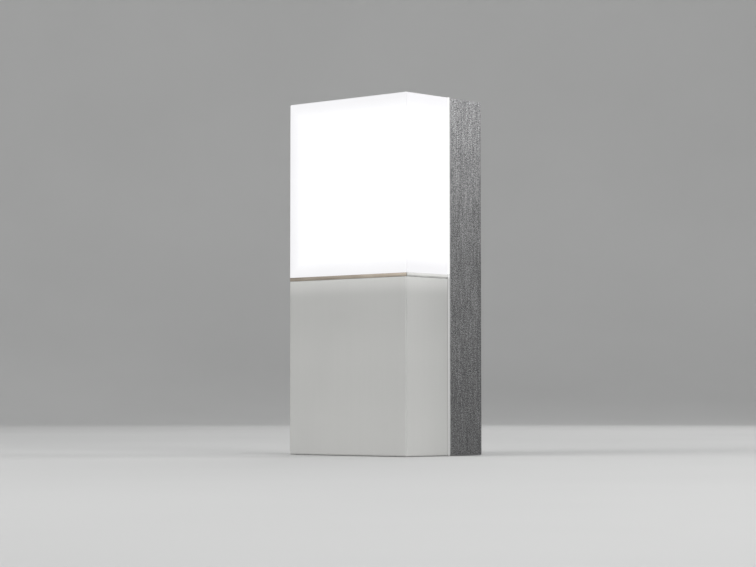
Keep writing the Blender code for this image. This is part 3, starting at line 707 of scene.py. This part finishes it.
def fine_screw(node, facing, thread, head_height):
    """Pan head screw with a rounded, slotted head and a thread turned on its shank."""
    axis, sign = SCREW_FACINGS[facing]
    shank, pitch, root = thread
    centre, head, low, high = round_box(node)
    top = high[axis] if sign > 0 else low[axis]
    length = high[axis] - low[axis] - head_height
    profile = [(0.0, head_height), (head * 0.5, head_height)]
    profile += arc((head * 0.62, head_height * 0.35), head * 0.38, 62, 0, 6)
    profile += [(head, 0.05), (head - 0.08, 0.0), (shank - root, 0.0)]
    turns = int((length - 1.0) / pitch)
    for turn in range(turns):
        height = THREAD_START - turn * pitch
        profile += [(shank - root, height), (shank, height - pitch * 0.5)]
    profile += [(shank - root, THREAD_START - turns * pitch), (shank - root - 0.35, -length),
                (0.0, -length)]
    profile = [(radius, min(height, head_height)) for radius, height in profile]
    base = list(centre)
    base[axis] = top - sign * head_height
    obj = lathe(node + "_fine", profile, Vector(base) * MM, unit(axis, sign), SCREW_SIDES)
    spans = [(value - head * 0.14, value + head * 0.14) for value in centre]
    spans[0] = (centre[0] - head * 1.3, centre[0] + head * 1.3)
    spans[axis] = sorted((top - sign * head_height * 0.5, top + sign * 1.0))
    fine(node, shape(obj, cut=[block("slot_cutter", *spans)]))


def fine_terminal_screw(node):
    """Headless clamping screw, slotted, in its well in the terminal block."""
    centre, radius, low, high = round_box(node)
    length = high.y - low.y
    profile = [(0.0, 0.0), (radius - 0.25, 0.0), (radius, -0.25)]
    for turn in range(5):
        profile += [(radius - 0.2, -0.8 - turn * 0.6), (radius, -1.1 - turn * 0.6)]
    profile += [(radius - 0.5, -length), (0.0, -length)]
    base = Vector((centre.x, low.y, centre.z)) * MM
    obj = lathe(node + "_fine", profile, base, unit(1, -1.0), SCREW_SIDES)
    slot = block("slot_cutter", (centre.x - 3, centre.x + 3), (low.y - 1, low.y + 0.9),
                 (centre.z - 0.35, centre.z + 0.35))
    fine(node, shape(obj, cut=[slot]))


def fine_screws():
    """Screws of every kind, each in the size that its CAD solid has."""
    for side in ("left", "right"):
        fine_screw(f"cover_screw_{side}", "down", LARGE_THREAD, 2.0)
        for row in ("lower", "upper"):
            fine_screw(f"diffuser_screw_{side}_{row}", "wall", SMALL_THREAD, 2.2)
        fine_screw(f"carrier_screw_{side}", "front", SMALL_THREAD, 2.2)
        for kind in ("divider", "driver", "clamp", "bracket"):
            fine_screw(f"{kind}_screw_{side}", "front", SMALL_THREAD, 2.0)
    fine_screw("earth_screw", "front", LARGE_THREAD, 2.4)
    for number in range(1, TERMINAL_SCREWS + 1):
        fine_terminal_screw(f"terminal_screw_{number}")


def rounded_ring(inner, outer, low, high, radius):
    """Closed profile of a flat ring with rounded edges."""
    points = arc((outer - radius, high - radius), radius, 90, 0, 3)
    points += arc((outer - radius, low + radius), radius, 0, -90, 3)
    points += arc((inner + radius, low + radius), radius, 270, 180, 3)
    points += arc((inner + radius, high - radius), radius, 180, 90, 3)
    return points + [points[0]]


def fine_ring(node, axis, hole, radius):
    """Ring about an axis that fills the node's box, with a hole and edges of these radii."""
    centre, outer, low, high = round_box(node)
    half = (high[axis] - low[axis]) / 2
    profile = rounded_ring(hole, outer, -half, half, radius)
    fine(node, lathe(node + "_fine", profile, centre * MM, unit(axis)))


def fine_washers():
    """The sealing washers under the cover screws, and the washer on the earth screw."""
    fine_ring("cover_washer_left", 2, 2.2, 0.3)
    fine_ring("cover_washer_right", 2, 2.2, 0.3)
    fine_ring("earth_washer", 1, 2.2, 0.15)


def fine_grommet():
    """Rubber grommet: a lip on each side of the wall and a stepped nose down to the hole."""
    centre, outer, _, _ = round_box("cable_grommet")
    hole = 3.6
    profile = [(hole, -0.1)] + arc((outer - 0.4, -0.5), 0.4, 90, -90, 6)
    profile += [(9.6, -0.95), (9.6, -3.35)] + arc((12.0, -3.85), 0.5, 90, 0, 4)
    profile += arc((11.7, -4.3), 0.8, 0, -75, 4)
    profile += [(8.6, -5.1), (8.4, -5.5), (7.4, -5.6), (7.2, -6.3), (6.5, -6.4), (6.35, -7.1),
                (5.8, -7.2), (5.65, -7.9), (5.2, -8.0)]
    profile += arc((4.7, -8.5), 0.5, 0, -90, 4) + arc((4.1, -8.5), 0.5, 270, 180, 4)
    profile.append(profile[0])
    base = Vector((centre.x, 0.0, centre.z)) * MM
    fine("cable_grommet", lathe("cable_grommet_fine", profile, base, unit(1), 64))


def smooth_route(points, per_leg=10):
    """Points in metres along a smooth curve through the route's own points in mm."""
    points = [Vector(point) * MM for point in points]
    ends = [points[0] * 2 - points[1], *points, points[-1] * 2 - points[-2]]
    route = []
    for before, start, end, after in zip(ends, ends[1:], ends[2:], ends[3:]):
        for step in range(per_leg):
            t = step / per_leg
            route.append(
                start + (end - before) * (t / 2)
                + (before * 2 - start * 5 + end * 4 - after) * (t * t / 2)
                + (start * 3 - before - end * 3 + after) * (t ** 3 / 2)
            )
    return route + [points[-1]]


def tube(name, route, radius, sides=16):
    """Round insulation along the route, closed at both ends."""
    bm = bmesh.new()
    rings = []
    across = Vector((1.0, 0.0, 0.0))
    for number, point in enumerate(route):
        ahead = route[min(number + 1, len(route) - 1)] - route[max(number - 1, 0)]
        ahead.normalize()
        across = (across - ahead * across.dot(ahead)).normalized()
        other = ahead.cross(across)
        ring = []
        for side in range(sides):
            angle = math.tau * side / sides
            spot = across * math.cos(angle) + other * math.sin(angle)
            ring.append(bm.verts.new(point + spot * radius * MM))
        rings.append(ring)
    for first, second in zip(rings, rings[1:]):
        for side in range(sides):
            after = (side + 1) % sides
            bm.faces.new((first[side], first[after], second[after], second[side]))
    bm.faces.new(rings[0])
    bm.faces.new(rings[-1])
    return mesh_object(name, bm)


MAINS_WIRE = 1.1                   # radius over the insulation
LED_WIRE = 0.8


def fine_wires():
    """Smooth insulation along the same routes as the plain wires."""
    for node, x in (("wire_live", POLES[0]), ("wire_neutral", POLES[1])):
        route = smooth_route([(x, POLE_Y, -66.5), (x, POLE_Y, -63.0), (x, -12.6, -60.5),
                              (x, POLE_Y, -58.0), (x, POLE_Y, -55.0)])
        fine(node, tube(node + "_fine", route, MAINS_WIRE))
    route = smooth_route([(POLES[2], POLE_Y, -66.5), (POLES[2], POLE_Y, -63.0),
                          (12.0, -13.0, -60.6), (16.0, -13.6, -60.4), (19.6, -13.0, -63.5),
                          (20.6, -10.4, -68.0), (23.4, -9.2, EARTH_Z), (27.5, -9.2, EARTH_Z)])
    fine("wire_earth", tube("wire_earth_fine", route, MAINS_WIRE))
    for node, sign in (("wire_led_plus", -1), ("wire_led_minus", 1)):
        lead = sign * LED_LEAD_X
        route = smooth_route([(lead, LED_LEAD_Y, -25.0), (lead, LED_LEAD_Y, -21.0),
                              (sign * 3.2, -16.0, -12.0), (lead, -21.0, 2.0),
                              (sign * 2.6, -25.5, 12.0), (sign * 2.3, -29.0, 18.0),
                              (sign * 2.2, -33.0, 22.5), (sign * 2.2, -34.4, 26.5),
                              (sign * 2.2, -34.4, 30.5)])
        fine(node, tube(node + "_fine", route, LED_WIRE))


def fine_terminals():
    """Terminal block with countersunk screw wells and grooves between its poles."""
    low, high = box_mm("terminal_block")
    body = block("terminal_block_fine", (low.x, high.x), (low.y, high.y), (low.z, high.z), 0.9)
    mouth = [(0.0, 1.2), (2.7, 1.2), (4.1, -0.2), (0.0, -0.2)]
    rim = [(0.0, 0.8), (2.0, 0.8), (3.0, -0.2), (0.0, -0.2)]
    cuts = []
    for x in POLES:
        cuts.append(bar("bore", "Z", (x, POLE_Y), (low.z - 1, high.z + 1), 2.9))
        for z, sign in ((low.z - 0.01, 1.0), (high.z + 0.01, -1.0)):
            cuts.append(lathe("mouth", mouth, Vector((x, POLE_Y, z)) * MM, unit(2, sign), 40))
        for z in TERMINAL_SCREW_Z:
            cuts.append(bar("well", "Y", (x, z), (low.y - 1, POLE_Y), 2.1))
            cuts.append(lathe("rim", rim, Vector((x, low.y, z)) * MM, unit(1), 40))
    for x in (-5.0, 5.0):
        cuts.append(block("groove", (x - 0.5, x + 0.5), (low.y - 1, low.y + 2.0),
                          (low.z - 1, high.z + 1)))
        for ends in ((low.z - 1, low.z + 1.2), (high.z - 1.2, high.z + 1)):
            cuts.append(block("groove", (x - 0.5, x + 0.5), (low.y - 1, high.y + 1), ends))
    fine("terminal_block", shape(body, cut=cuts))
    for number in range(1, len(POLES) + 1):
        fine_ring(f"terminal_insert_{number}", 2, 1.5, 0.3)


def fine_driver():
    """Driver case with rounded edges, cooling grooves, ears, and a recess for its lid."""
    low, high = box_mm("driver_case")
    half_x = 32.0                  # without the ears
    body = block("driver_case_fine", (-half_x, half_x), (low.y, high.y), (low.z, high.z), 1.8)
    ears = [block("ear", (low.x, high.x), (-9.3, -7.3), (-44.0, -36.0), 2.5, "Y")]
    cuts = [block("recess", (-30.0, 30.0), (low.y - 2, -25.8), (low.z + 2, high.z - 2), 0.8, "Y")]
    for sign in (-1, 1):
        cuts.append(bar("ear_hole", "Y", (sign * 37.5, -40.0), (-11.0, -6.0), SMALL_HOLE))
        outlet = (sign * LED_LEAD_X, LED_LEAD_Y)
        cuts.append(bar("output", "Z", outlet, (high.z - 4, high.z + 1), 1.3))
        side = sorted((sign * (half_x - 0.7), sign * (half_x + 1)))
        for y in (-22.5, -19.5, -16.5, -13.5):
            cuts.append(block("groove", side, (y - 0.6, y + 0.6), (low.z + 3, high.z - 3)))
    for x in POLES[:2]:
        cuts.append(bar("input", "Z", (x, POLE_Y), (low.z - 1, low.z + 4), 1.5))
    fine("driver_case", shape(body, add=ears, cut=cuts))


def fine_driver_lid():
    """Lid with a fine line let in around its edge and a dimple in each corner."""
    low, high = box_mm("driver_lid")
    lid = block("driver_lid_fine", (low.x, high.x), (low.y, high.y), (low.z, high.z), 0.5)
    line = block("line", (low.x + 2.2, high.x - 2.2), (low.y - 1, low.y + 0.25),
                 (low.z + 2.2, high.z - 2.2), 1.2, "Y")
    inside = block("inside", (low.x + 2.8, high.x - 2.8), (low.y - 2, low.y + 1),
                   (low.z + 2.8, high.z - 2.8), 0.9, "Y")
    cuts = [shape(line, cut=[inside])]
    for x in (low.x + 5.5, high.x - 5.5):
        for z in (low.z + 5.5, high.z - 5.5):
            cuts.append(bar("dimple", "Y", (x, z), (low.y - 1, low.y + 0.35), 1.3))
    fine("driver_lid", shape(lid, cut=cuts))


def strip(name, path, thickness, axis, span):
    """Sheet metal bent along a path and as wide as the span along the axis, in mm.

    A point of the path gives the two coordinates other than the axis.
    """
    points = [Vector(point) for point in path]
    left, right = [], []
    for number, point in enumerate(points):
        ahead = points[min(number + 1, len(points) - 1)] - points[max(number - 1, 0)]
        normal = Vector((-ahead.y, ahead.x)).normalized() * (thickness / 2)
        left.append(point + normal)
        right.append(point - normal)
    outline = left + right[::-1]
    bm = bmesh.new()
    layers = []
    for along in span:
        layer = []
        for point in outline:
            spot = list(point)
            spot.insert("XYZ".index(axis), along)
            layer.append(bm.verts.new(Vector(spot) * MM))
        layers.append(layer)
    first, second = layers
    count = len(outline)
    for number in range(count):
        after = (number + 1) % count
        bm.faces.new((first[number], first[after], second[after], second[number]))
    for layer in layers:
        back = layer[::-1]
        for number in range(len(left) - 1):
            bm.faces.new((layer[number], layer[number + 1], back[number + 1], back[number]))
    return mesh_object(name, bm)


def fine_clips():
    """Spring clips: a bent strip with a waist that grips the tongue, and a foot on its stub."""
    leg = [(1.95, -29.9), (1.7, -28.5), (1.35, -26.5), (1.18, -24.0), (1.22, -22.0), (1.6, -18.5),
           (1.8, -14.0), (1.8, -6.0)] + arc((0.8, -4.7), 1.0, 30, 90, 4)
    legs = leg + [(-x, y) for x, y in reversed(leg)]
    for side, sign in (("left", -1), ("right", 1)):
        node = f"cover_clip_{side}"
        path = [(sign * (CLIP_X + x), y) for x, y in legs]
        clip = strip(node + "_fine", path, 0.6, "Z", (-33.0, -21.0))
        ends = sorted((sign * 36.0, sign * 46.0))
        foot = block("foot", ends, (-4.1, -3.4), (-32.0, -22.0), 2.0, "Y")
        hole = bar("hole", "Y", (sign * 40.0, -27.0), (-6.0, -2.0), 1.8)
        fine(node, shape(clip, add=[foot], cut=[hole]))


def fine_bracket():
    """Steel angle with a bent corner, and two pulled bushes for the cover screws."""
    low, high = box_mm("cover_bracket")
    corner = arc((-8.8, -113.0), 2.5, -90, 0, 6)
    path = [(low.y, BRACKET_Z), (-20.0, BRACKET_Z)] + corner
    path += [(BRACKET_Y, -108.0), (BRACKET_Y, high.z)]
    angle = strip("cover_bracket_fine", path, 2.0, "X", (low.x, high.x))
    bush = [(0.0, 5.0), (3.6, 5.0), (4.0, 4.6), (4.0, 1.2), (4.6, 0.5), (4.6, 0.0), (0.0, 0.0)]
    thread = [(0.0, 7.5)]
    for turn in range(10):
        thread += [(2.25, 7.4 - turn * 0.7), (2.5, 7.05 - turn * 0.7)]
    thread += [(2.25, 0.4), (2.7, 0.0), (2.7, -1.0), (0.0, -1.0)]
    cuts = [block("gap", (-16.0, 16.0), (-12.0, -4.0), (-114.5, high.z + 5))]
    adds = []
    for sign in (-1, 1):
        x, y = sign * BUSH_AT[0], BUSH_AT[1]
        adds.append(lathe("bush", bush, Vector((x, y, BRACKET_Z)) * MM, unit(2)))
        cuts.append(lathe("thread", thread, Vector((x, y, BRACKET_Z - 1.5)) * MM, unit(2), 32))
        cuts.append(bar("leg_hole", "Y", (sign * 25.0, -109.0), (-9.0, -4.0), SMALL_HOLE))
    fine("cover_bracket", shape(angle, add=adds, cut=cuts))


def fine_earth():
    """Crimped ring terminal."""
    front, back = -8.1, -7.3
    ring = lathe("ring_terminal_fine", rounded_ring(2.2, 4.0, front, back, 0.15),
                 Vector((36.0, 0.0, EARTH_Z)) * MM, unit(1))
    barrel = lathe("barrel", rounded_ring(1.4, 2.0, 0.0, 6.0, 0.15),
                   Vector((24.0, -9.2, EARTH_Z)) * MM, unit(0))
    tongue = block("tongue", (29.5, 33.2), (front, back), (EARTH_Z - 1.8, EARTH_Z + 1.8))
    fine("ring_terminal", shape(ring, add=[tongue, barrel]))


def fine_clamp():
    """Cable clamp: a rounded bar with raised ends around its screws and teeth towards the cable."""
    low, high = box_mm("cable_clamp")
    body = block("cable_clamp_fine", (low.x, high.x), (-13.0, -11.0), (low.z, high.z), 2.6, "Y")
    teeth = [bar("tooth", "X", (-11.3, CLAMP_Z + rise), (-5.0, 5.0), 0.8, 16)
             for rise in (-1.6, 0.0, 1.6)]
    cuts = [bar("hole", "Y", (sign * 9.5, CLAMP_Z), (-15.0, -9.0), SMALL_HOLE) for sign in (-1, 1)]
    cuts.append(block("hollow", (-5.0, 5.0), (-14.0, -12.5), (low.z + 1.2, high.z - 1.2), 0.8, "Y"))
    fine("cable_clamp", shape(body, add=teeth, cut=cuts))


def fine_divider():
    """Divider plate, whose edge fills the gap at the sides, and the strip that closes its front."""
    low, high = box_mm("divider_plate")
    strip_low, strip_high = box_mm("trim_strip")
    top = 0.8                      # of the plate's edge and of the strip
    plate = block("divider_plate_fine", (low.x, high.x), (low.y, high.y), (-1.0, top), 0.15)
    step = block("step", (low.x + 0.7, high.x - 0.7), (low.y + 0.2, high.y - 0.2), (low.z, -0.5))
    flange = block("flange", (-46.0, 46.0), (high.y - 1.6, high.y), (-0.5, high.z))
    cuts = [bar("hole", "Y", (sign * 30.0, 11.5), (-40.0, -36.0), SMALL_HOLE) for sign in (-1, 1)]
    fine("divider_plate", shape(plate, add=[step, flange], cut=cuts))
    bronze = block("trim_strip_fine", (strip_low.x + 0.1, strip_high.x - 0.1),
                   (strip_low.y, strip_high.y), (strip_low.z - 0.2, top), 0.12)
    fine("trim_strip", bronze)


def make_fine_pieces():
    fine_screws()
    fine_washers()
    fine_grommet()
    fine_wires()
    fine_terminals()
    fine_driver()
    fine_driver_lid()
    fine_clips()
    fine_bracket()
    fine_earth()
    fine_clamp()
    fine_divider()


add_camera()
add_studio()
add_sky()
for light in LIGHTS:
    add_light(*light)
MATERIALS = make_materials()
finish_nodes(MATERIALS)
make_fine_pieces()
bpy.context.scene.view_settings.view_transform = "Standard"
bpy.context.view_layer.update()
